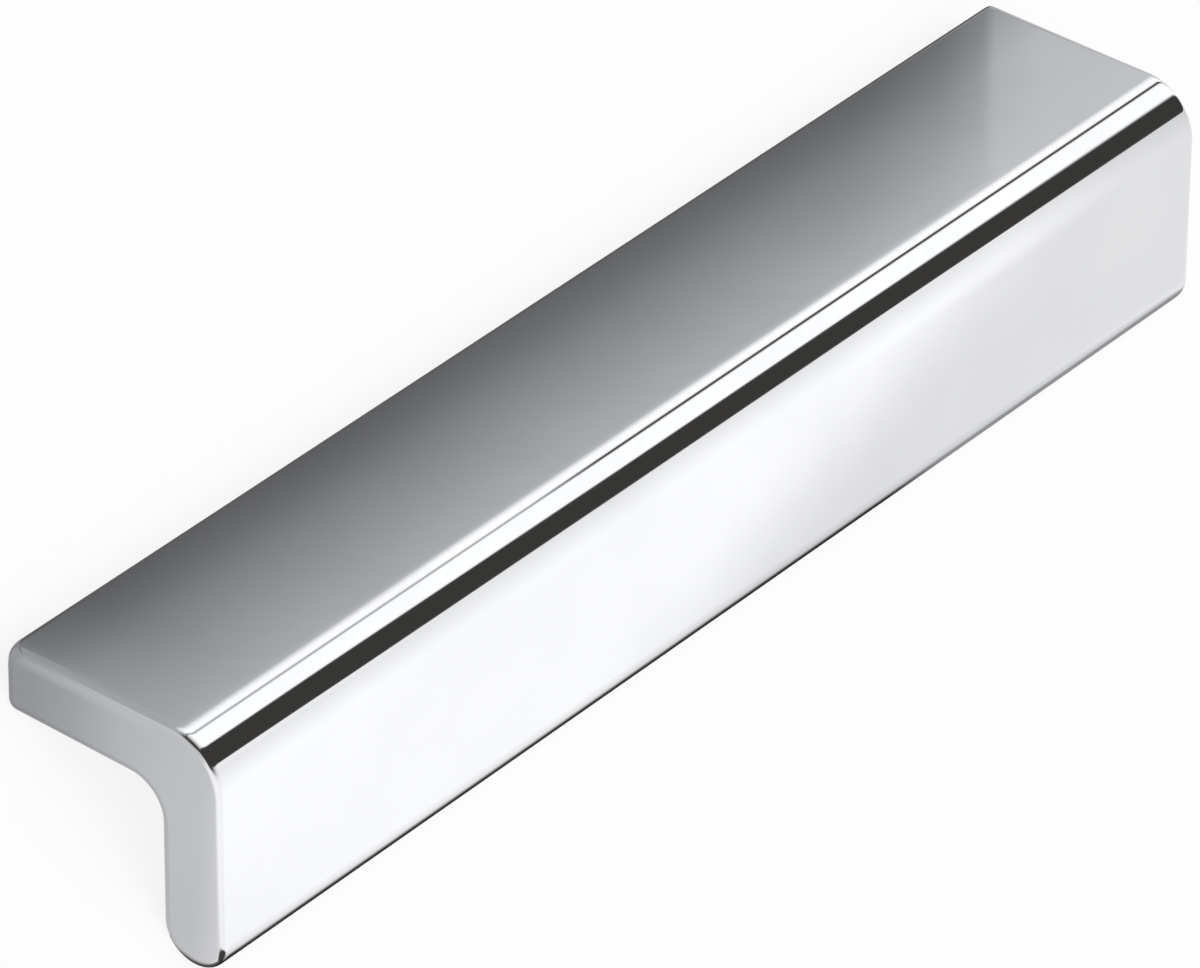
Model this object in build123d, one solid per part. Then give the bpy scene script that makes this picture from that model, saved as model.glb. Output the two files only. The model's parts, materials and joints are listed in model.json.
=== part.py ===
from build123d import *
import os
from math import asin, atan2, cos, degrees, hypot, radians, tan

# Finger pull profile, cast in one piece and plated. Its section is an upside-down L: a flange
# stands out from the drawer front and a lip hangs from the flange's outer edge, so that the
# fingers hook in behind the lip. Sizes are in millimetres, angles in degrees.

# Driving dimensions
length = 140.0
depth = 25.0
height = 24.6
flange_thickness = 6.7
flange_draft = 1.4
lip_thickness = 7.1
outer_corner_radius = 5.6
inner_corner_radius = 3.6
rear_top_radius = 0.9
rear_bottom_radius = 1.1
end_edge_radius = 0.6

# Fixing holes for M4 screws, blind, tapped into the rear face
hole_spacing = 128.0
hole_core_radius = 1.65
hole_full_depth = 12.0
hole_mouth_radius = 2.15
drill_tip_angle = 118.0

# The section lies in the YZ plane: rear face on Y = 0, front towards -Y, top face on Z = 0.
nose_radius = lip_thickness / 2
nose_y = -depth + nose_radius
nose_z = -height + nose_radius
lip_inner_y = -depth + lip_thickness
inner_corner_z = lip_inner_y * tan(radians(flange_draft)) - flange_thickness
hole_z = -flange_thickness / 2

# At rest it stands like a tent, on the nose and on the flange's lower rear edge. The floor is
# the line that touches both rounds from below.
foot_y = -rear_bottom_radius
foot_z = (
    -flange_thickness
    + foot_y * tan(radians(flange_draft))
    + rear_bottom_radius / cos(radians(flange_draft))
)
toe_run = foot_y - nose_y
toe_drop = foot_z - nose_z
rest_angle = degrees(
    atan2(toe_drop, toe_run)
    + asin((nose_radius - rear_bottom_radius) / hypot(toe_run, toe_drop))
)


def section():
    """The L, with its nose a full half round and each of its corners at its own radius."""
    with BuildSketch(Plane.YZ.offset(-length / 2)) as outline:
        with BuildLine():
            Polyline((0, -flange_thickness), (0, 0), (-depth, 0), (-depth, nose_z))
            CenterArc((nose_y, nose_z), nose_radius, 180, 180)
            Polyline((lip_inner_y, nose_z), (lip_inner_y, inner_corner_z), (0, -flange_thickness))
        make_face()
        corner_radii = {
            (0, 0): rear_top_radius,
            (0, -flange_thickness): rear_bottom_radius,
            (-depth, 0): outer_corner_radius,
            (lip_inner_y, inner_corner_z): inner_corner_radius,
        }
        for (y, z), radius in corner_radii.items():
            corner = outline.vertices().sort_by_distance((y, z, 0))[0]
            fillet(corner, radius)
    return outline.sketch


def screw_hole():
    """The space a tapped hole takes up: its core, a drilled tip, and a 45 degree lead-in."""
    lead_in = hole_mouth_radius - hole_core_radius
    tip_depth = hole_core_radius / tan(radians(drill_tip_angle / 2))
    with BuildPart() as space:
        with BuildSketch(Plane.XZ):
            Polygon(
                (0, 0),
                (hole_mouth_radius, 0),
                (hole_core_radius, -lead_in),
                (hole_core_radius, -hole_full_depth),
                (0, -hole_full_depth - tip_depth),
                align=None,
            )
        revolve(axis=Axis.Z)
    return space.part


def pull_profile():
    """The bar as it is fitted: rear face upright, top face level."""
    bar = extrude(section(), amount=length)
    end_edges = bar.faces().filter_by(Axis.X).edges()
    bar = fillet(end_edges, end_edge_radius)
    rear_face = Plane(origin=(0, 0, hole_z), x_dir=(1, 0, 0), z_dir=(0, 1, 0))
    for place in GridLocations(hole_spacing, 0, 2, 1):
        bar -= rear_face * place * screw_hole()
    return bar


def at_rest(bar):
    """The bar turned down onto its nose and foot, with the origin under its middle."""
    turned = bar.rotate(Axis.X, -rest_angle)
    box = turned.bounding_box()
    return turned.translate((-box.center().X, -box.center().Y, -box.min.Z))


os.makedirs("parts", exist_ok=True)
profile = at_rest(pull_profile())
profile.label = "pull_profile"
export_step(profile, "parts/pull_profile.step")
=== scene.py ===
import bmesh
import bpy
import json
from math import ceil, cos, pi, radians, sin, sqrt, tan
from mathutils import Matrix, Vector


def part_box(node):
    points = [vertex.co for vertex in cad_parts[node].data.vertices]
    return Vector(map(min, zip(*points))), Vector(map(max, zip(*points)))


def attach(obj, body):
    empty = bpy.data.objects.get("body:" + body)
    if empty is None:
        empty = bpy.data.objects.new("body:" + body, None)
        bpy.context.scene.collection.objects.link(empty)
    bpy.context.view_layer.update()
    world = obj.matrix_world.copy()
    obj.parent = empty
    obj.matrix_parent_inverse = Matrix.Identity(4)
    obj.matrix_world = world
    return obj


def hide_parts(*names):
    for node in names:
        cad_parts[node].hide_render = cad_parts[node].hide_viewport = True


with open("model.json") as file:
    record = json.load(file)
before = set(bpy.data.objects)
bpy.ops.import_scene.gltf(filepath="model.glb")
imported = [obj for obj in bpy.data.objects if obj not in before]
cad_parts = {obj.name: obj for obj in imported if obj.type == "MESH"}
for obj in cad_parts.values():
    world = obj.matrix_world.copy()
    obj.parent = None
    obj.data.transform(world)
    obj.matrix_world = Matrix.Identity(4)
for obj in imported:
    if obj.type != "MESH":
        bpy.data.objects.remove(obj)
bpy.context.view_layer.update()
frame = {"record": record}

# Camera. A long lens looks down on the bar over its near end, from about 0.94 m, along the
# photograph's line of sight. It is rolled so that the bar runs from lower left to upper right.
camera_data = bpy.data.cameras.new("camera")
camera_data.sensor_width = 36.0
camera_data.lens = 306.9
camera_data.clip_start = 0.05
camera_data.clip_end = 20.0
camera = bpy.data.objects.new("camera", camera_data)
camera.location = (-0.60209, -0.00364, 0.71921)
camera.rotation_euler = [radians(angle) for angle in (25.3580, -31.9382, -41.5552)]
bpy.context.collection.objects.link(camera)
bpy.context.scene.camera = camera

# The bar. One zinc alloy casting with the section of an upside-down L: a flange with a little
# draft on its underside, and a lip that ends in a full round nose. It lies on its nose and heel.
# On the bar, u runs from the rear face out to the front, and w runs up, with the top face at 0.
mounts = {mount["name"]: mount for mount in frame["record"]["mounts"]}
rear_centre = Vector(mounts["rear_face"]["pos_m"])
rear_out = Vector(mounts["rear_face"]["axis"]).normalized()
along = Vector((1.0, 0.0, 0.0))
fitted_up = along.cross(rear_out)
box_low, box_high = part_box("pull_profile")
half_length = (box_high[0] - box_low[0]) / 2
depth = 0.025
height = 0.0246
flange_thickness = 0.0067
flange_draft_degrees = 1.4
lip_thickness = 0.0071
outer_corner_radius = 0.0056
inner_corner_radius = 0.0036
rear_top_radius = 0.0009
rear_bottom_radius = 0.0011
nose_radius = lip_thickness / 2


def on_bar(x, u, w):
    """A point given by its place along the bar, its depth from the rear face and its height."""
    return rear_centre + along * x - rear_out * u + fitted_up * (w + flange_thickness / 2)


def bar_direction(x, u, w):
    """A direction given by the same three axes."""
    return (along * x - rear_out * u + fitted_up * w).normalized()


def round_stretch(u, w, radius, first, last, step, polish, hollow=False):
    """An arc about (u, w) between two angles in degrees, with a point for about each step.

    A point has its place, its outward normal and its polish, which goes from one value to another.
    """
    count = ceil(abs(last - first) / step)
    points = []
    for i in range(count + 1):
        share = i / count
        angle = radians(first + (last - first) * share)
        nu, nw = cos(angle), sin(angle)
        side = -1.0 if hollow else 1.0
        shine = polish[0] + (polish[1] - polish[0]) * share
        points.append((u + radius * nu, w + radius * nw, side * nu, side * nw, shine))
    return points


# The section, clockwise from the top of the rear face, with steps in degrees. Polish is 1 where the
# wheel has worked, on the top, the front and round the nose, and 0 behind the lip and on the rear.
outer_corner_step = 2
round_step = 4
small_round_step = 10
flange_draft = radians(flange_draft_degrees)
fillet_u = depth - lip_thickness - inner_corner_radius
fillet_w = -flange_thickness - fillet_u * tan(flange_draft) - inner_corner_radius / cos(flange_draft)
heel_drop = rear_bottom_radius * (1 / cos(flange_draft) - tan(flange_draft))
fixed_outline = (
    round_stretch(
        depth - outer_corner_radius, -outer_corner_radius, outer_corner_radius,
        90, 0, outer_corner_step, (1, 1),
    )
    + round_stretch(
        depth - nose_radius, nose_radius - height, nose_radius,
        0, -180, round_step, (1, 0),
    )
    + round_stretch(
        fillet_u, fillet_w, inner_corner_radius,
        0, 90 - flange_draft_degrees, round_step, (0, 0), hollow=True,
    )
    + round_stretch(
        rear_bottom_radius, heel_drop - flange_thickness, rear_bottom_radius,
        270 - flange_draft_degrees, 180, small_round_step, (0, 0),
    )
)

# The skin carries that section along the bar and rolls its end edges over. Polishing has eased the
# casting's 0.6 mm radius into the flats beside it: the roll starts sooner, and its middle is where
# that radius puts it. The near end's rear corner is rubbed rounder over its last two millimetres.
roll_reach = 0.00085
roll_power = 3.0
corner_reach = 0.0020
near_corner_gain = 0.0016
corner_steps = 6
roll_steps = 10
span_steps = 14

# A station has its place along the bar, how far the skin is set in there, and how much of its
# normal points along the bar and out from it.
end_stations = []
for i in range(corner_steps):
    back = roll_reach + (corner_reach - roll_reach) * (1 - i / corner_steps)
    end_stations.append((half_length - back, 0.0, 0.0, 1.0))
for i in range(roll_steps + 1):
    turn = pi / 2 * i / roll_steps
    back = roll_reach * (1 - sin(turn) ** (2 / roll_power))
    inset = roll_reach * (1 - cos(turn) ** (2 / roll_power))
    endwards = sin(turn) ** (2 - 2 / roll_power)
    outwards = cos(turn) ** (2 - 2 / roll_power)
    size = sqrt(endwards**2 + outwards**2)
    end_stations.append((half_length - back, inset, endwards / size, outwards / size))
span_end = end_stations[0][0]
stations = [(-x, inset, endwards, outwards) for x, inset, endwards, outwards in reversed(end_stations)]
stations += [(-span_end + 2 * span_end * i / span_steps, 0.0, 0.0, 1.0) for i in range(1, span_steps)]
stations += end_stations

bar_mesh = bmesh.new()
normal_of = {}
polish_of = {}
rings = []
for x, inset, endwards, outwards in stations:
    side = -1.0 if x < 0 else 1.0
    to_corner = max(0.0, 1 - (half_length + x) / corner_reach)
    rear_radius = rear_top_radius + near_corner_gain * to_corner**3
    radius_slope = -3 * near_corner_gain * to_corner**2 / corner_reach
    rear_round = round_stretch(
        rear_radius, -rear_radius, rear_radius, 180, 90, small_round_step, (0, 1)
    )
    ring = []
    for u, w, nu, nw, shine in rear_round + fixed_outline:
        vert = bar_mesh.verts.new(on_bar(x, u - nu * inset, w - nw * inset))
        lean = radius_slope * (nw - nu - 1) if len(ring) < len(rear_round) else 0.0
        normal_of[vert] = bar_direction(
            side * endwards + lean * outwards, nu * outwards, nw * outwards
        )
        polish_of[vert] = shine
        ring.append(vert)
    rings.append(ring)
ring_size = len(rings[0])
first_span = corner_steps + roll_steps
last_span = first_span + span_steps - 1
rolled_faces = set()
rear_edges = []
for k in range(len(rings) - 1):
    for j in range(ring_size):
        after = (j + 1) % ring_size
        quad = (rings[k][j], rings[k][after], rings[k + 1][after], rings[k + 1][j])
        on_rear_span = first_span <= k <= last_span and after == 0
        if not on_rear_span:
            face = bar_mesh.faces.new(quad)
            if k < roll_steps or k >= len(rings) - 1 - roll_steps:
                rolled_faces.add(face)
for k in range(first_span, last_span + 1):
    rear_edges.append(bar_mesh.edges.get((rings[k][-1], rings[k + 1][-1])))
    rear_edges.append(bar_mesh.edges.get((rings[k][0], rings[k + 1][0])))
for k in (first_span, last_span + 1):
    pair = (rings[k][-1], rings[k][0])
    rear_edges.append(bar_mesh.edges.get(pair) or bar_mesh.edges.new(pair))
end_faces = {bar_mesh.faces.new(rings[0]), bar_mesh.faces.new(rings[-1])}

# The screw holes. Two blind holes for M4 screws in the rear face, 128 mm apart, drilled and tapped
# after plating, so bare zinc shows in them: a 45 degree lead-in, the cut thread, which runs out
# before the bottom, a short plain stretch and the cone that the drill leaves.
hole_core_radius = mounts["screw_hole_left"]["dims"]["r_mm"] / 1000
hole_wall_length = mounts["screw_hole_left"]["dims"]["length_mm"] / 1000
thread_root_radius = 0.0020
thread_pitch = 0.0007
thread_end = 0.0103
thread_fade = 0.0005
thread_flank_slope = 1.25
hole_mouth_radius = 0.00215
lead_in = hole_mouth_radius - hole_core_radius
drill_half_angle = radians(59)
drill_tip = hole_core_radius / tan(drill_half_angle)
hole_sides = 40
rows_per_turn = 8
hole_w = -flange_thickness / 2


def thread_radius(turn, deep):
    """Radius of the tapped wall: a V-shaped groove that winds inwards as a right-hand thread."""
    phase = (deep / thread_pitch - turn) % 1.0
    groove = max(0.0, 1.0 - abs(2 * phase - 1) * thread_flank_slope)
    fade_in = min(1.0, (deep - lead_in) / thread_fade)
    fade_out = min(1.0, max(0.0, (thread_end - deep) / thread_fade))
    return hole_core_radius + (thread_root_radius - hole_core_radius) * groove * fade_in * fade_out


def hole_ring(x, deep, radius_at):
    """One ring of a hole's wall, at one depth."""
    ring = []
    for i in range(hole_sides):
        turn = i / hole_sides
        r = radius_at(turn)
        angle = 2 * pi * turn
        ring.append(bar_mesh.verts.new(on_bar(x + r * cos(angle), deep, hole_w + r * sin(angle))))
    return ring


hole_faces = set()
wall_rows = ceil(hole_wall_length / (thread_pitch / rows_per_turn))
for name in ("screw_hole_left", "screw_hole_right"):
    x = mounts[name]["pos_m"][0]
    walls = [hole_ring(x, 0.0, lambda turn: hole_mouth_radius)]
    for row in range(wall_rows + 1):
        deep = lead_in + hole_wall_length * row / wall_rows
        walls.append(hole_ring(x, deep, lambda turn: thread_radius(turn, deep)))
    tip = bar_mesh.verts.new(on_bar(x, lead_in + hole_wall_length + drill_tip, hole_w))
    for i in range(hole_sides):
        after = (i + 1) % hole_sides
        for upper, lower in zip(walls, walls[1:]):
            hole_faces.add(bar_mesh.faces.new((upper[i], upper[after], lower[after], lower[i])))
        hole_faces.add(bar_mesh.faces.new((walls[-1][i], walls[-1][after], tip)))
        rear_edges.append(bar_mesh.edges.get((walls[0][i], walls[0][after])))
filled = bmesh.ops.triangle_fill(bar_mesh, edges=rear_edges, use_beauty=True, normal=rear_out)
rear_faces = {face for face in filled["geom"] if isinstance(face, bmesh.types.BMFace)}
bmesh.ops.recalc_face_normals(bar_mesh, faces=bar_mesh.faces)
bar_mesh.normal_update()


def add_node(tree, kind, inputs=None, **settings):
    """Adds a node to a finish. Each of its inputs is set to a value or joined to a socket."""
    made = tree.nodes.new(kind)
    for name, value in settings.items():
        setattr(made, name, value)
    for name, value in (inputs or {}).items():
        if isinstance(value, bpy.types.NodeSocket):
            tree.links.new(value, made.inputs[name])
        else:
            made.inputs[name].default_value = value
    return made


def reckon(tree, operation, *values, clamp=False):
    """One sum in a finish, on values or sockets; gives its result."""
    return add_node(
        tree, "ShaderNodeMath", dict(enumerate(values)), operation=operation, use_clamp=clamp
    ).outputs[0]


# What tools leave on metal: fine lines along the way that the tool ran, which is the vector's X,
# and duller patches where it bore less. Tapping and polishing both leave them, in other sizes.
tool_marks = bpy.data.node_groups.new("tool_marks", "ShaderNodeTree")
tool_marks.interface.new_socket("Vector", in_out="INPUT", socket_type="NodeSocketVector")
for socket_name in ("Line Length", "Line Spacing", "Patch Size"):
    tool_marks.interface.new_socket(socket_name, in_out="INPUT", socket_type="NodeSocketFloat")
for socket_name in ("Lines", "Patches"):
    tool_marks.interface.new_socket(socket_name, in_out="OUTPUT", socket_type="NodeSocketFloat")
given = add_node(tool_marks, "NodeGroupInput").outputs
per_length = reckon(tool_marks, "DIVIDE", 1.0, given["Line Length"])
per_spacing = reckon(tool_marks, "DIVIDE", 1.0, given["Line Spacing"])
stretch = add_node(
    tool_marks, "ShaderNodeCombineXYZ", {"X": per_length, "Y": per_spacing, "Z": per_spacing}
)
stretched = add_node(
    tool_marks, "ShaderNodeVectorMath", {0: given["Vector"], 1: stretch.outputs[0]},
    operation="MULTIPLY",
)
lines = add_node(
    tool_marks, "ShaderNodeTexNoise",
    {"Vector": stretched.outputs[0], "Scale": 1.0, "Detail": 3.0, "Roughness": 0.6},
)
per_patch = reckon(tool_marks, "DIVIDE", 1.0, given["Patch Size"])
patches = add_node(
    tool_marks, "ShaderNodeTexNoise",
    {"Vector": given["Vector"], "Scale": per_patch, "Detail": 4.0, "Roughness": 0.55},
)
spread = add_node(
    tool_marks, "ShaderNodeMapRange",
    {"Value": patches.outputs["Fac"], "From Min": 0.3, "From Max": 0.7},
)
add_node(
    tool_marks, "NodeGroupOutput", {"Lines": lines.outputs["Fac"], "Patches": spread.outputs["Result"]}
)


def blend_tone(tree, share, first, second):
    """A colour between two others, by a share from 0 to 1."""
    mix = add_node(tree, "ShaderNodeMix", {0: share, 6: first, 7: second}, data_type="RGBA")
    return mix.outputs[2]


def rescale(tree, value, low, high, to_low=0.0, to_high=1.0, ease="LINEAR"):
    """A value between low and high, carried over to another range and held inside it."""
    ends = {"Value": value, "From Min": low, "From Max": high, "To Min": to_low, "To Max": to_high}
    return add_node(tree, "ShaderNodeMapRange", ends, interpolation_type=ease).outputs["Result"]


# Bare zinc in the holes, which are cut after plating. It is grey and satin, with the fine rings
# that the tap left across its axis.
zinc_light = (0.50, 0.50, 0.51, 1.0)
zinc_dark = (0.34, 0.34, 0.355, 1.0)
zinc_roughness = (0.28, 0.46)
tap_ring_height = 0.000006
cut_zinc = bpy.data.materials.new("cut_zinc")
cut_zinc.use_nodes = True
tree = cut_zinc.node_tree
shader = tree.nodes["Principled BSDF"]
shader.inputs["Metallic"].default_value = 1.0
place = add_node(tree, "ShaderNodeTexCoord").outputs["Object"]
into_hole = add_node(tree, "ShaderNodeVectorMath", {0: place, 1: rear_out}, operation="DOT_PRODUCT")
across_hole = add_node(tree, "ShaderNodeSeparateXYZ", {"Vector": place}).outputs["X"]
hole_place = add_node(
    tree, "ShaderNodeCombineXYZ", {"X": across_hole, "Y": into_hole.outputs["Value"]}
).outputs[0]
marks = add_node(
    tree, "ShaderNodeGroup",
    {"Vector": hole_place, "Line Length": 0.004, "Line Spacing": 0.00006, "Patch Size": 0.0012},
    node_tree=tool_marks,
).outputs
tree.links.new(blend_tone(tree, marks["Patches"], zinc_light, zinc_dark), shader.inputs["Base Color"])
tree.links.new(rescale(tree, marks["Lines"], 0.3, 0.7, *zinc_roughness), shader.inputs["Roughness"])
rings_left = add_node(
    tree, "ShaderNodeBump", {"Strength": 1.0, "Distance": tap_ring_height, "Height": marks["Lines"]}
)
tree.links.new(rings_left.outputs["Normal"], shader.inputs["Normal"])

# The plating. Bright chrome over the whole casting, mirror-polished on the faces that show and
# left hazier on the rear face and behind the lip. The wheel leaves lengthwise lines far finer
# than the eye can part, the casting shows as a very slight ripple, and the rims are rubbed.
chrome_bright = (0.785, 0.79, 0.80, 1.0)
chrome_dull = (0.745, 0.75, 0.765, 1.0)
chrome_hidden = (0.68, 0.685, 0.70, 1.0)
polished_roughness = (0.035, 0.06)
line_roughness = 0.012
rim_roughness = 0.03
hidden_roughness = 0.15
ripple_width = 0.0035
ripple_heights = (0.000001, 0.000006)
line_heights = (0.00000004, 0.0000008)
pit_spacing = 0.0022
pit_reach = 0.14
pit_depth = 0.00001
chrome_plate = bpy.data.materials.new("chrome_plate")
chrome_plate.use_nodes = True
tree = chrome_plate.node_tree
shader = tree.nodes["Principled BSDF"]
shader.inputs["Metallic"].default_value = 1.0
place = add_node(tree, "ShaderNodeTexCoord").outputs["Object"]
polish = add_node(tree, "ShaderNodeAttribute", attribute_name="polish").outputs["Fac"]
rim = add_node(tree, "ShaderNodeAttribute", attribute_name="rim").outputs["Fac"]
marks = add_node(
    tree, "ShaderNodeGroup",
    {"Vector": place, "Line Length": 0.03, "Line Spacing": 0.00022, "Patch Size": 0.016},
    node_tree=tool_marks,
).outputs
hidden = reckon(tree, "SUBTRACT", 1.0, polish)
visible_tone = blend_tone(tree, marks["Patches"], chrome_bright, chrome_dull)
full_tone = blend_tone(tree, hidden, visible_tone, chrome_hidden)
tree.links.new(full_tone, shader.inputs["Base Color"])

# Roughness: a trace of haze in patches, more on the rims, and a soft satin on the hidden faces.
haze = rescale(tree, marks["Patches"], 0.0, 1.0, *polished_roughness)
line_haze = reckon(tree, "MULTIPLY_ADD", marks["Lines"], line_roughness, haze)
rim_haze = reckon(tree, "MULTIPLY_ADD", rim, rim_roughness, line_haze)
full_haze = reckon(tree, "MULTIPLY_ADD", hidden, hidden_roughness, rim_haze)
tree.links.new(full_haze, shader.inputs["Roughness"])

# Relief, in metres, from the polished faces to the hidden ones: the casting's ripple, the
# polishing lines, and on the hidden faces small pits, which the plating only half fills.
ripple = add_node(
    tree, "ShaderNodeTexNoise", {"Vector": place, "Scale": 1 / ripple_width, "Detail": 2.0}
).outputs["Fac"]
ripple_rise = reckon(tree, "MULTIPLY", ripple, rescale(tree, hidden, 0.0, 1.0, *ripple_heights))
line_height = rescale(tree, hidden, 0.0, 1.0, *line_heights)
line_rise = reckon(tree, "MULTIPLY", marks["Lines"], line_height)
off_pit = add_node(
    tree, "ShaderNodeTexVoronoi", {"Vector": place, "Scale": 1 / pit_spacing, "Randomness": 1.0}
).outputs["Distance"]
in_pit = reckon(
    tree, "MULTIPLY", rescale(tree, off_pit, 0.0, pit_reach, 1.0, 0.0, "SMOOTHSTEP"), hidden
)
pit_fall = reckon(tree, "MULTIPLY", in_pit, -pit_depth)
relief = reckon(tree, "ADD", reckon(tree, "ADD", ripple_rise, line_rise), pit_fall)
surface = add_node(tree, "ShaderNodeBump", {"Strength": 1.0, "Distance": 1.0, "Height": relief})
tree.links.new(surface.outputs["Normal"], shader.inputs["Normal"])

# The finished bar. Its shading follows the exact section, so that the mirror finish shows
# unbroken lines. The rear face and the two end faces are shaded flat.
corner_normals = []
corner_polish = []
corner_rim = []
for face in bar_mesh.faces:
    face.smooth = True
    face.material_index = 1 if face in hole_faces else 0
    for loop in face.loops:
        if face in end_faces or face in rear_faces:
            corner_normals.append(face.normal.copy())
        else:
            corner_normals.append(normal_of.get(loop.vert, loop.vert.normal).copy())
        corner_polish.append(1.0 if face in end_faces else polish_of.get(loop.vert, 0.0))
        edge_on = abs(normal_of[loop.vert].x) if face in rolled_faces else 0.0
        corner_rim.append(2 * edge_on * sqrt(max(0.0, 1 - edge_on**2)))
plated_bar_mesh = bpy.data.meshes.new("plated_bar")
bar_mesh.to_mesh(plated_bar_mesh)
bar_mesh.free()
plated_bar_mesh.normals_split_custom_set(corner_normals)
for name, values in (("polish", corner_polish), ("rim", corner_rim)):
    plated_bar_mesh.attributes.new(name, "FLOAT", "CORNER").data.foreach_set("value", values)
plated_bar_mesh.materials.append(chrome_plate)
plated_bar_mesh.materials.append(cut_zinc)
plated_bar = bpy.data.objects.new("plated_bar", plated_bar_mesh)
bpy.context.collection.objects.link(plated_bar)
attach(plated_bar, "root")
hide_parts("pull_profile")


# The floor. Matt white paper under the bar. It shows white to the camera and pale in the plating,
# and it keeps the bar's faint shadow.
def stage_mesh(name, points, faces, material):
    """A stage piece, given by its points, its faces and its material."""
    mesh = bpy.data.meshes.new(name)
    mesh.from_pydata(points, [], faces)
    mesh.materials.append(material)
    piece = bpy.data.objects.new(name, mesh)
    bpy.context.collection.objects.link(piece)
    return piece


floor_reach = 3.0
paper_colour = (0.94, 0.94, 0.94, 1.0)
white_to_camera = 0.85
white_in_plating = 0.6
white_paper = bpy.data.materials.new("white_paper")
white_paper.use_nodes = True
tree = white_paper.node_tree
tree.nodes.clear()
path = add_node(tree, "ShaderNodeLightPath").outputs
matt = add_node(tree, "ShaderNodeBsdfDiffuse", {"Color": paper_colour})
white = add_node(tree, "ShaderNodeEmission", {"Strength": 1.0})
in_plating = reckon(tree, "ADD", path["Is Glossy Ray"], path["Is Transmission Ray"])
plating_share = reckon(tree, "MULTIPLY", in_plating, white_in_plating)
white_share = reckon(
    tree, "MULTIPLY_ADD", path["Is Camera Ray"], white_to_camera, plating_share, clamp=True
)
paper = add_node(
    tree, "ShaderNodeMixShader", {0: white_share, 1: matt.outputs[0], 2: white.outputs[0]}
)
add_node(tree, "ShaderNodeOutputMaterial", {"Surface": paper.outputs[0]})
corner_signs = ((-1, -1), (1, -1), (1, 1), (-1, 1))
floor_corners = [(x * floor_reach, y * floor_reach, 0.0) for x, y in corner_signs]
stage_mesh("floor", floor_corners, [(0, 1, 2, 3)], white_paper)

# Grey cards, which glow and stand in for the shaded floor. They lie on the paper beside the bar, where
# only the plating shows them, as painted reflections: a dark one behind the bar, which is painted
# shadow, one that falls off on the slant at the near end, which is the bar's painted shadow, and one
# in front of the nose, with a painted contact shadow.
# A level of about 1.27 on them renders white in the plating, which takes a fifth of the light.
cool_grey = (0.985, 0.996, 1.020, 1.0)
plain_white = (1.0, 1.0, 1.0, 1.0)
warm_black = (1.04, 1.0, 0.94, 1.0)
card_thickness = 0.00002


def only_in_plating(piece):
    """Hides a stage piece from the camera and keeps it from lighting or shading the floor."""
    piece.visible_camera = False
    piece.visible_diffuse = False
    piece.visible_shadow = False


def new_card(name):
    """An empty card material, with its node tree and the X, Y and Z of the place on the card."""
    card = bpy.data.materials.new(name)
    card.use_nodes = True
    card.node_tree.nodes.clear()
    place = add_node(card.node_tree, "ShaderNodeTexCoord").outputs["Object"]
    spot = add_node(card.node_tree, "ShaderNodeSeparateXYZ", {"Vector": place}).outputs
    return card, card.node_tree, spot["X"], spot["Y"], spot["Z"]


def slant(tree, *terms):
    """A sum of values, each times its own weight, for tones that change along a slanted line."""
    total = 0.0
    for value, weight in terms:
        total = reckon(tree, "MULTIPLY_ADD", value, weight, total)
    return total


def times(tree, value, *shares):
    """A value times each of the shares."""
    for share in shares:
        value = reckon(tree, "MULTIPLY", value, share)
    return value


def darken(tree, level, *shares):
    """A level that loses each of the shares, from 0 to 1, in turn."""
    for share in shares:
        level = reckon(tree, "MULTIPLY", level, reckon(tree, "SUBTRACT", 1.0, share))
    return level


def greater_of(tree, value, *others):
    """The greatest of several values."""
    for other in others:
        value = reckon(tree, "MAXIMUM", value, other)
    return value


def fade(tree, value, first, last, start=0.0, end=1.0):
    """A soft change from one level to another as a value goes from first to last."""
    return rescale(tree, value, first, last, start, end, "SMOOTHSTEP")


def stepped(tree, value, stops):
    """A level that changes with a value, given as pairs of a value and the level there.

    The ramp that does it holds no level above 1, so they are taken as parts of the highest one.
    """
    first, last = stops[0][0], stops[-1][0]
    top = max(level for at, level in stops)
    ramp = add_node(tree, "ShaderNodeValToRGB", {"Fac": rescale(tree, value, first, last)})
    elements = ramp.color_ramp.elements
    elements[0].color = (stops[0][1] / top,) * 3 + (1.0,)
    elements[1].color = (stops[-1][1] / top,) * 3 + (1.0,)
    for at, level in stops[1:-1]:
        elements.new((at - first) / (last - first)).color = (level / top,) * 3 + (1.0,)
    return reckon(tree, "MULTIPLY", ramp.outputs["Color"], top)


# The colour of the light from a card or a cloth: its blacks are slightly warm, its greys are
# slightly cool, and it turns plain white over a short range of level after Plain From.
black_until = 0.06
grey_from = 0.14
white_turn_range = 0.3
studio_tint = bpy.data.node_groups.new("studio_tint", "ShaderNodeTree")
for socket_name in ("Level", "Plain From"):
    studio_tint.interface.new_socket(socket_name, in_out="INPUT", socket_type="NodeSocketFloat")
studio_tint.interface.new_socket("Colour", in_out="OUTPUT", socket_type="NodeSocketColor")
given = add_node(studio_tint, "NodeGroupInput").outputs
grey_share = fade(studio_tint, given["Level"], black_until, grey_from)
grey_tint = blend_tone(studio_tint, grey_share, warm_black, cool_grey)
plain_at = reckon(studio_tint, "ADD", given["Plain From"], white_turn_range)
plain_share = fade(studio_tint, given["Level"], given["Plain From"], plain_at)
light_tint = blend_tone(studio_tint, plain_share, grey_tint, plain_white)
add_node(studio_tint, "NodeGroupOutput", {"Colour": light_tint})


def light_up(tree, level, plain_from=0.8):
    """Makes a stage piece glow at a level, with the studio's tint."""
    tint = add_node(
        tree, "ShaderNodeGroup", {"Level": level, "Plain From": plain_from}, node_tree=studio_tint
    )
    glow = add_node(tree, "ShaderNodeEmission", {"Color": tint.outputs[0], "Strength": level})
    add_node(tree, "ShaderNodeOutputMaterial", {"Surface": glow.outputs[0]})


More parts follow.
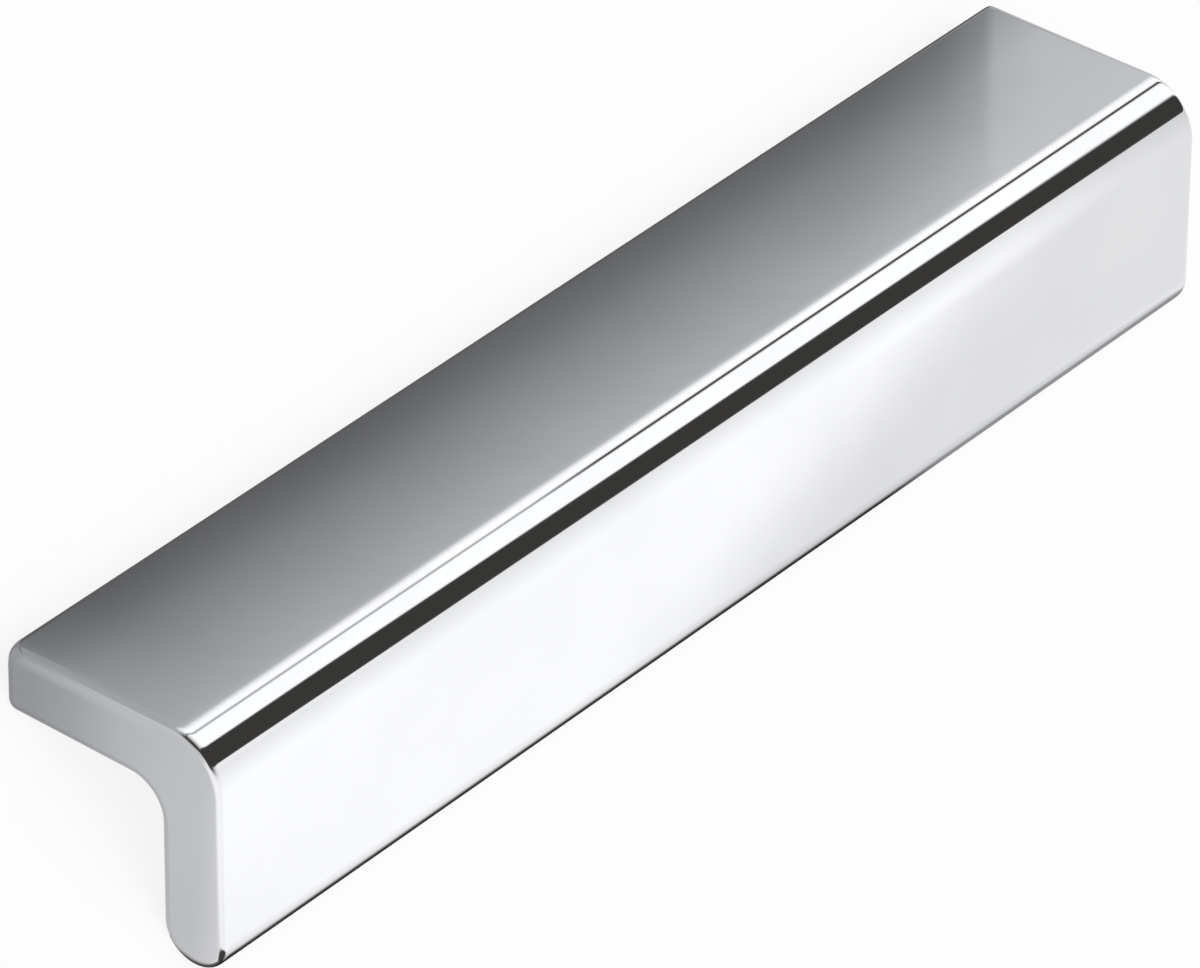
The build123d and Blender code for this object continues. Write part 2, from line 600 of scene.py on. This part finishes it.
def lay_card(material, layer, low, high):
    """Lays a card on the floor between two corners, on top of the layers that are under it."""
    lift = layer * card_thickness
    corners = [(low[0], low[1]), (high[0], low[1]), (high[0], high[1]), (low[0], high[1])]
    points = [(x, y, lift) for x, y in corners]
    only_in_plating(stage_mesh(material.name, points, [(0, 1, 2, 3)], material))


# The card behind the bar is dark with painted shadow. It is lighter off both ends, on a slant at
# the near one.
rear_painted_shade, tree, card_x, card_y, _ = new_card("rear_painted_shade")
rear_stops = [(0.017, 0.13), (0.070, 0.16)]
past_corner = slant(tree, (card_x, 1.0), (card_y, -0.4))
near_light = fade(tree, past_corner, -0.0680, -0.0740, end=0.31)
far_light = fade(tree, card_x, 0.080, 0.095, end=0.65)
rear_level = greater_of(tree, stepped(tree, card_y, rear_stops), near_light, far_light)
light_up(tree, rear_level)
lay_card(rear_painted_shade, 1, (-0.077, 0.0172), (0.125, 0.0700))

# The card at the near end carries the bar's painted shadow, which gets lighter away from the bar,
# and it turns white out in front.
end_painted_shade, tree, card_x, card_y, _ = new_card("end_painted_shade")
end_white = 1.16
end_stops = [(0.060, 0.385), (0.066, 0.45), (0.073, 0.585), (0.080, 0.65), (0.090, 0.70)]
off_end = slant(tree, (card_x, -1.0), (card_y, -1.0))
painted_shadow_part = stepped(tree, off_end, end_stops)
white_share = times(tree, fade(tree, card_y, 0.001, -0.005), fade(tree, off_end, 0.085, 0.098))
white_part = reckon(tree, "SUBTRACT", end_white, painted_shadow_part)
end_level = reckon(tree, "MULTIPLY_ADD", white_share, white_part, painted_shadow_part)

# A light streak on it shows as the bright line along the near edge of the bar's top.
streak_place = (-0.0751, 0.0124)
streak_level = 0.10
streak_stops = [(0.0570, 0.3), (0.0600, 1.0), (0.0670, 1.0), (0.0790, 0.0)]
streak_x = reckon(tree, "SUBTRACT", card_x, streak_place[0])
streak_y = reckon(tree, "SUBTRACT", card_y, streak_place[1])
past_streak = slant(tree, (streak_x, -0.823), (streak_y, 0.570))
streak = times(
    tree,
    fade(tree, past_streak, -0.0003, 0.0005, end=streak_level),
    fade(tree, past_streak, 0.0030, 0.0100, start=1.0, end=0.2),
    stepped(tree, off_end, streak_stops),
)
end_level = reckon(tree, "ADD", end_level, streak)

# A painted contact shadow makes it nearly black under and beside the nose, with a small peak on
# the edge towards the bar.
peak_x = -0.0753
peak_reach = 0.003
nose_dark = 0.95
off_peak = reckon(tree, "ABSOLUTE", reckon(tree, "SUBTRACT", card_x, peak_x))
peak_part = reckon(tree, "MINIMUM", off_peak, peak_reach)
peaked_edge = slant(tree, (card_y, 1.0), (peak_part, 1.05))
under_slant = slant(tree, (card_x, 1.0), (card_y, -0.4))
beside_slant = slant(tree, (card_x, 1.0), (card_y, -0.5))
under_nose = times(
    tree,
    fade(tree, peaked_edge, -0.0156, -0.0178),
    fade(tree, under_slant, -0.0725, -0.0709),
    fade(tree, card_y, -0.062, -0.052),
)
beside_nose = times(
    tree,
    fade(tree, beside_slant, -0.0639, -0.0629, end=0.9),
    fade(tree, card_y, -0.0122, -0.0142),
)
nose_shade = times(tree, greater_of(tree, under_nose, beside_nose), nose_dark)
end_level = darken(tree, end_level, nose_shade)

# A soft dark spot further out, a painted dark reflection, shows on the near edge of the bar's
# rounded corner.
dark_reflection_centre = (-0.149, 0.007)
dark_reflection_level = 0.33
square_x = reckon(tree, "POWER", reckon(tree, "SUBTRACT", card_x, dark_reflection_centre[0]), 2.0)
square_y = reckon(tree, "POWER", reckon(tree, "SUBTRACT", card_y, dark_reflection_centre[1]), 2.0)
off_dark_reflection = reckon(tree, "SQRT", slant(tree, (square_x, 1.0), (square_y, 1.0)))
dark_reflection_gain = rescale(tree, off_dark_reflection, 0.004, 0.036, to_low=dark_reflection_level)
light_up(tree, times(tree, end_level, dark_reflection_gain), plain_from=0.5)
lay_card(end_painted_shade, 2, (-0.200, -0.0699), (-0.0699, 0.0699))

# The card in front glows white. A painted contact shadow makes it black under the nose and where
# the near end comes down, and grey under the nose's far half. Further out it gets a little greyer
# towards the far end.
front_painted_shade, tree, card_x, card_y, _ = new_card("front_painted_shade")
front_stops = [
    (-0.0700, 1.21), (-0.0500, 1.16), (-0.0337, 1.12), (-0.0274, 1.05), (-0.0241, 0.95),
    (-0.0229, 0.80), (-0.0219, 0.56), (-0.0211, 0.31), (-0.0204, 0.11), (-0.0198, 0.04),
    (-0.0120, 0.04),
]
towards_far = slant(tree, (card_x, 1.0), (card_y, 0.9))
far_fall = fade(tree, towards_far, -0.043, 0.001, start=1.0, end=0.78)
front_level = greater_of(
    tree,
    times(tree, stepped(tree, card_y, front_stops), far_fall),
    fade(tree, card_x, 0.026, 0.039, end=0.34),
    fade(tree, card_x, 0.0735, 0.080),
)
in_near_foot_shadow = times(
    tree, fade(tree, card_x, -0.0615, -0.0700), fade(tree, card_y, -0.062, -0.052)
)
foot_shadow_gain = rescale(tree, in_near_foot_shadow, 0.0, 1.0, to_low=1.0, to_high=0.05)
light_up(tree, times(tree, front_level, foot_shadow_gain), plain_from=0.65)
lay_card(front_painted_shade, 3, (-0.0700, -0.0699), (0.130, -0.0120))

# Light tunnel. A half tube of white cloth over the bar that glows with painted light and lights
# nothing, so that only the plating shows it, as a painted reflection. Its foot behind the bar is
# painted dark, black strips run along its top and its rear wall, and its near end is painted dark,
# like an opening to a dark room. Places round it are in degrees up from that foot.
tunnel_radius = 0.070
tunnel_half_length = 0.45
tunnel_lift = 0.0001
tunnel_ribs = 120
black_level = 0.048
wall_stops = [
    (0.0, 0.10), (6.6, 0.145), (8.5, 0.19), (11.1, 0.28), (18.3, 0.50), (20.5, 0.53), (24.3, 0.54),
    (26.5, 0.58), (28.1, 0.65), (33.7, 1.06), (37.3, 1.23), (41.0, 1.28), (90.0, 1.28),
    (111.0, 1.03), (134.0, 1.19), (147.8, 1.25), (180.0, 1.22),
]
painted_reflection_tunnel, tree, tunnel_x, tunnel_y, tunnel_z = new_card("painted_reflection_tunnel")
around = reckon(tree, "MULTIPLY", reckon(tree, "ARCTAN2", tunnel_z, tunnel_y), 180 / pi)

# Above its dark foot the cloth turns white, at a height that varies along the bar.
most_turned = 4.0
turn_stops = [(-0.030, 1.0), (-0.002, 2.6), (0.015, 4.0), (0.058, 4.0), (0.075, 2.0), (0.120, 2.3)]
turned_by = times(
    tree,
    reckon(tree, "SUBTRACT", stepped(tree, tunnel_x, turn_stops), most_turned),
    rescale(tree, around, 20.0, 26.0),
)
level = stepped(tree, reckon(tree, "ADD", around, turned_by), wall_stops)
shade_stops = [(-0.120, 0.0), (-0.095, 0.13), (-0.060, 0.15), (-0.030, 0.06), (-0.022, 0.0)]
near_shade = times(
    tree,
    stepped(tree, tunnel_x, shade_stops),
    rescale(tree, around, 24.0, 32.0, to_low=1.0, to_high=0.0),
)
level = darken(tree, level, near_shade)

# The rear wall is lighter towards both ends.
most_near_rise = 0.125
near_foot_start = -0.080
near_slant = slant(tree, (tunnel_x, 1.0), (tunnel_z, -0.62))
near_rise = reckon(
    tree, "ADD",
    fade(tree, near_slant, -0.022, -0.040, end=0.10),
    fade(tree, near_slant, -0.0332, -0.0348, end=0.07),
)
before_start = reckon(tree, "SUBTRACT", tunnel_x, near_foot_start)
near_foot = slant(tree, (around, 1.0), (reckon(tree, "MINIMUM", before_start, 0.0), 150.0))
near_lift = times(
    tree,
    reckon(tree, "MINIMUM", near_rise, most_near_rise),
    rescale(tree, near_foot, 11.5, 17.0, to_low=1.0, to_high=0.0),
)
far_slant = slant(tree, (tunnel_x, 1.0), (tunnel_z, 1.38))
far_rise = reckon(
    tree, "ADD",
    fade(tree, far_slant, 0.106, 0.130, end=0.055),
    fade(tree, tunnel_x, 0.015, 0.045, end=0.018),
)
on_rear = rescale(tree, around, 35.0, 45.0, to_low=1.0, to_high=0.0)
far_lift = times(tree, far_rise, on_rear)
level = slant(tree, (level, 1.0), (near_lift, 1.0), (far_lift, 1.0))
near_glow = fade(tree, tunnel_x, -0.080, -0.115, end=0.45)
level = greater_of(tree, level, near_glow)

# A patch of painted light lies low on the rear wall past the far end. Its edge is the straight line
# that the far part of the bar's top shows.
painted_patch_stops = [(6.0, 0.44), (11.0, 0.62), (18.0, 0.69)]
painted_patch_edge_stops = [(0.1205, 0.0), (0.1270, 0.25), (0.1291, 0.80), (0.1375, 1.0)]
painted_patch_slant = slant(tree, (tunnel_x, 1.0), (tunnel_z, 1.08))
painted_patch_share = stepped(tree, painted_patch_slant, painted_patch_edge_stops)
over_wall = reckon(tree, "SUBTRACT", stepped(tree, around, painted_patch_stops), level)
painted_patch_gain = greater_of(tree, over_wall, 0.0)
level = reckon(tree, "MULTIPLY_ADD", painted_patch_gain, painted_patch_share, level)

# The front wall is a little darker beyond a slanted line, and past the near end.
low_height = 0.0125
low_part = reckon(tree, "MINIMUM", tunnel_z, low_height)
front_slant = slant(tree, (tunnel_x, 1.0), (tunnel_z, -0.25), (low_part, -4.05))
on_front = fade(tree, around, 90.0, 100.0)
front_fall = times(tree, fade(tree, front_slant, 0.0175, 0.0615, end=0.22), on_front)
near_fall = times(tree, fade(tree, tunnel_x, -0.072, -0.092, end=0.07), on_front)
level = darken(tree, level, front_fall, near_fall)

# The near end, painted dark like an opening to a dark room, wider the further it is.
opening_start = -0.100
beyond_start = greater_of(tree, reckon(tree, "SUBTRACT", opening_start, tunnel_x), 0.0)
over_rear_edge = slant(tree, (around, 1.0), (beyond_start, 250.0))
over_front_edge = slant(tree, (around, 1.0), (beyond_start, -80.0))
painted_dark_end = times(
    tree,
    fade(tree, tunnel_x, -0.035, -0.125, end=0.95),
    fade(tree, over_rear_edge, 25.0, 50.0),
    fade(tree, over_front_edge, 125.0, 106.0),
)

# The broad black strip leans a little, and its rear edge is softer at the far end.
strip_start_stops = [(-0.120, 76.8), (-0.014, 77.3), (0.010, 79.0), (0.030, 80.3), (0.120, 80.6)]
strip_end_stops = [
    (-0.120, 105.3), (-0.024, 106.1), (-0.010, 107.2),
    (0.030, 108.4), (0.070, 108.4), (0.120, 110.3),
]
into_strip = reckon(tree, "SUBTRACT", around, stepped(tree, tunnel_x, strip_start_stops))
past_strip = reckon(tree, "SUBTRACT", around, stepped(tree, tunnel_x, strip_end_stops))
strip_softness = fade(tree, tunnel_x, 0.060, 0.110, start=1.5, end=3.0)
top_strip = times(
    tree,
    fade(tree, reckon(tree, "DIVIDE", into_strip, strip_softness), -1.0, 1.0),
    fade(tree, past_strip, 0.8, -0.8),
)

# The thin one is fainter and narrower towards the near end.
thin_place = 50.5
off_thin = reckon(tree, "ABSOLUTE", reckon(tree, "SUBTRACT", around, thin_place))
thin_width = fade(tree, tunnel_x, 0.020, 0.035, start=1.9, end=2.35)
thin_depth = fade(tree, tunnel_x, 0.020, 0.035, start=0.6, end=0.97)
thin_share = reckon(tree, "DIVIDE", off_thin, thin_width)
thin_strip = times(tree, fade(tree, thin_share, 1.7, 0.3), thin_depth)
level = darken(tree, level, painted_dark_end, top_strip, thin_strip)
light_up(tree, greater_of(tree, level, black_level), plain_from=0.65)

tunnel_points = []
tunnel_faces = []
for i in range(tunnel_ribs + 1):
    turn = pi * i / tunnel_ribs
    for x in (-tunnel_half_length, tunnel_half_length):
        tunnel_points.append((x, tunnel_radius * cos(turn), tunnel_radius * sin(turn) + tunnel_lift))
for i in range(tunnel_ribs):
    tunnel_faces.append((2 * i, 2 * i + 1, 2 * i + 3, 2 * i + 2))
only_in_plating(stage_mesh("painted_reflection_tunnel", tunnel_points, tunnel_faces, painted_reflection_tunnel))

# Sun and sky: soft and even, at a level where a white floor renders white. The sky shows white to
# the camera and in the plating, and gives the floor a part of that as light.
sky_light = 0.35
sun_data = bpy.data.lights.new("soft_sun", "SUN")
sun_data.energy = 2.0
sun_data.angle = radians(60)
sun = bpy.data.objects.new("soft_sun", sun_data)
sun.rotation_euler = (radians(15), radians(-10), 0)
sun.visible_glossy = False
bpy.context.collection.objects.link(sun)
sky = bpy.data.worlds.new("sky")
sky.use_nodes = True
bpy.context.scene.world = sky
tree = sky.node_tree
path = add_node(tree, "ShaderNodeLightPath").outputs
seen = reckon(tree, "ADD", path["Is Camera Ray"], path["Is Glossy Ray"])
seen_at_all = reckon(tree, "ADD", seen, path["Is Transmission Ray"], clamp=True)
background = tree.nodes["Background"]
background.inputs["Color"].default_value = plain_white
tree.links.new(rescale(tree, seen_at_all, 0.0, 1.0, sky_light, 1.0), background.inputs["Strength"])
bpy.context.scene.view_settings.view_transform = "Standard"
